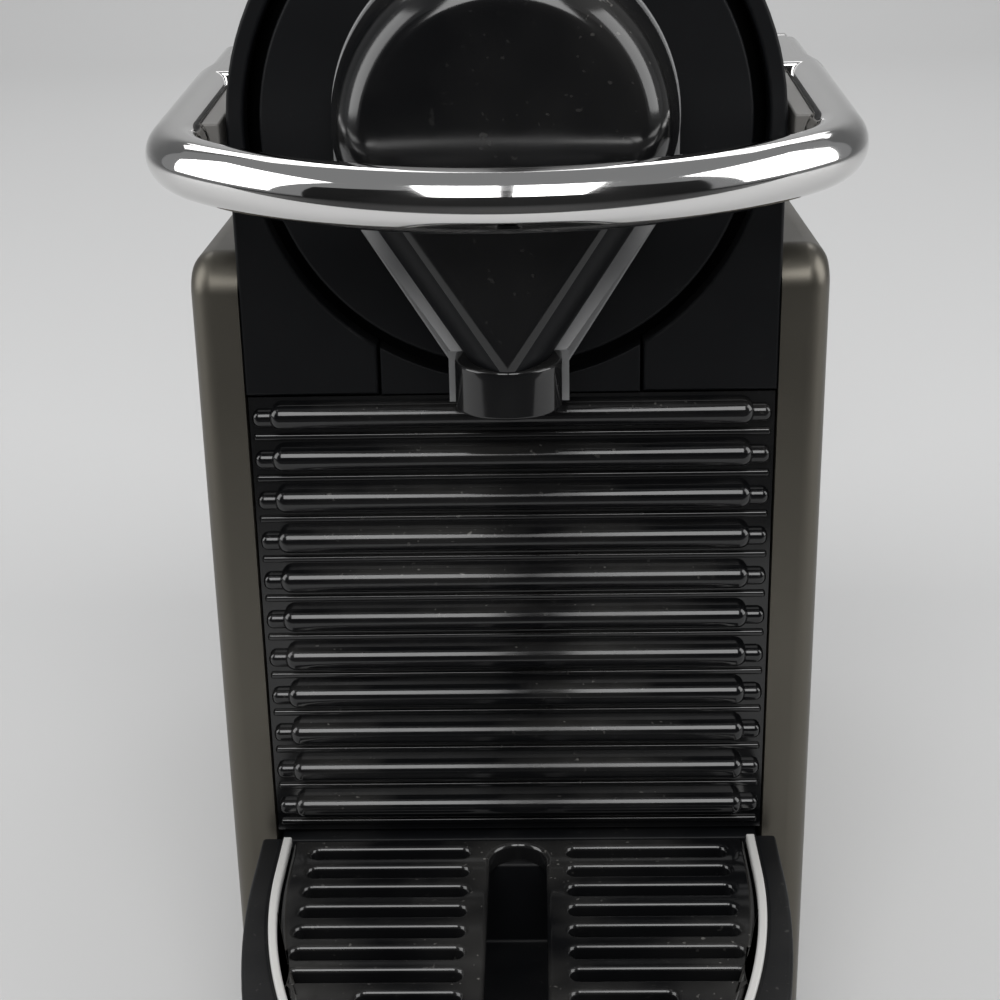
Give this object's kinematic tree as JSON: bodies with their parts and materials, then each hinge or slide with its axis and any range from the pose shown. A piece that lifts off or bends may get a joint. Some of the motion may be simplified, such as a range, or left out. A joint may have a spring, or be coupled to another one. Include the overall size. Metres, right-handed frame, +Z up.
{
  "type": "pod coffee machine",
  "caption": "Compact pod coffee machine with a round arched front, drop-shaped nose, chrome bow lever, ribbed drawer front, folding drip tray and rear water tank.",
  "frame": {"origin": "middle of the bounding box at table height", "axes": "+Z up, -Y the way the front faces, +X to the right seen from the front"},
  "size_m": [0.1166, 0.326, 0.235],
  "materials": {
    "body_black": "fine moulded grain",
    "gloss_black": "polished black",
    "panel_satin": "satin metallic",
    "chrome": "polished",
    "liner_grey": "matte",
    "rubber": "matte",
    "steel": "turned",
    "trim_silver": "satin",
    "inner_plastic": "matte",
    "board_green": "lacquered",
    "cast_aluminium": "cast",
    "tank_smoke": "smoked clear plastic"
  },
  "bodies": {
    "machine": {"base_plate": "body_black", "rubber_feet": "rubber", "base_screws": "steel", "body_shell": "body_black", "side_panel_left": "panel_satin", "side_panel_right": "panel_satin", "back_cover": "body_black", "front_frame": "body_black", "front_disc": "body_black", "front_insert": "body_black", "nose_cover": "gloss_black", "coffee_outlet": "gloss_black", "chassis_deck": "inner_plastic", "brew_frame": "inner_plastic", "capsule_plate": "inner_plastic", "pivot_bushes": "inner_plastic", "button_guide": "inner_plastic", "circuit_board": "board_green", "tank_socket": "inner_plastic", "flow_meter": "inner_plastic", "pump": "cast_aluminium", "pump_mounts": "rubber", "thermoblock": "cast_aluminium", "hoses": "rubber", "cord_gland": "rubber"},
    "lever": {"lever_bow": "chrome", "lever_liners": "liner_grey", "lever_cranks": "steel"},
    "carriage": {"brew_cage": "inner_plastic", "cage_seal": "rubber", "chute_shutter": "inner_plastic"},
    "small_button": {"button_small": "gloss_black"},
    "large_button": {"button_large": "gloss_black"},
    "drawer": {"drip_base": "body_black", "capsule_container": "body_black", "ribbed_front": "gloss_black"},
    "tray": {"drip_tray": "body_black", "tray_trim": "trim_silver", "tray_hinge_pins": "steel"},
    "grid": {"drip_grid": "gloss_black"},
    "tank": {"water_tank": "tank_smoke", "tank_valve": "inner_plastic"},
    "lid": {"tank_lid": "inner_plastic", "lid_pins": "steel"}
  },
  "joints": [
    {"name": "lever_turn", "type": "hinge", "parent": "machine", "child": "lever", "pos_m": [0, -0.021, 0.192], "axis": [-1, 0, 0], "range_deg": [0, 95]},
    {"name": "carriage_slide", "type": "slide", "parent": "machine", "child": "carriage", "axis": [0, 1, 0], "range_m": [0, 0.0263]},
    {"name": "small_button_press", "type": "slide", "parent": "machine", "child": "small_button", "axis": [0, 0, -1], "range_m": [0, 0.0015], "stiffness_N_per_m": 600},
    {"name": "large_button_press", "type": "slide", "parent": "machine", "child": "large_button", "axis": [0, 0, -1], "range_m": [0, 0.0015], "stiffness_N_per_m": 600},
    {"name": "drawer_slide", "type": "slide", "parent": "machine", "child": "drawer", "axis": [0, -1, 0], "range_m": [0, 0.13]},
    {"name": "tray_fold", "type": "hinge", "parent": "drawer", "child": "tray", "pos_m": [0, -0.101, 0.05], "axis": [1, 0, 0], "range_deg": [-90, 0]},
    {"name": "grid_lift", "type": "slide", "parent": "tray", "child": "grid", "axis": [0, 0, 1], "range_m": [0, 0.025]},
    {"name": "tank_lift", "type": "slide", "parent": "machine", "child": "tank", "axis": [0, 0, 1], "range_m": [0, 0.2]},
    {"name": "lid_turn", "type": "hinge", "parent": "tank", "child": "lid", "pos_m": [0, 0.158, 0.207], "axis": [-1, 0, 0], "range_deg": [0, 100]}
  ],
  "couplings": [
    {"joint": "carriage_slide", "follows": "lever_turn", "m_per_rad": 0.015741}
  ]
}
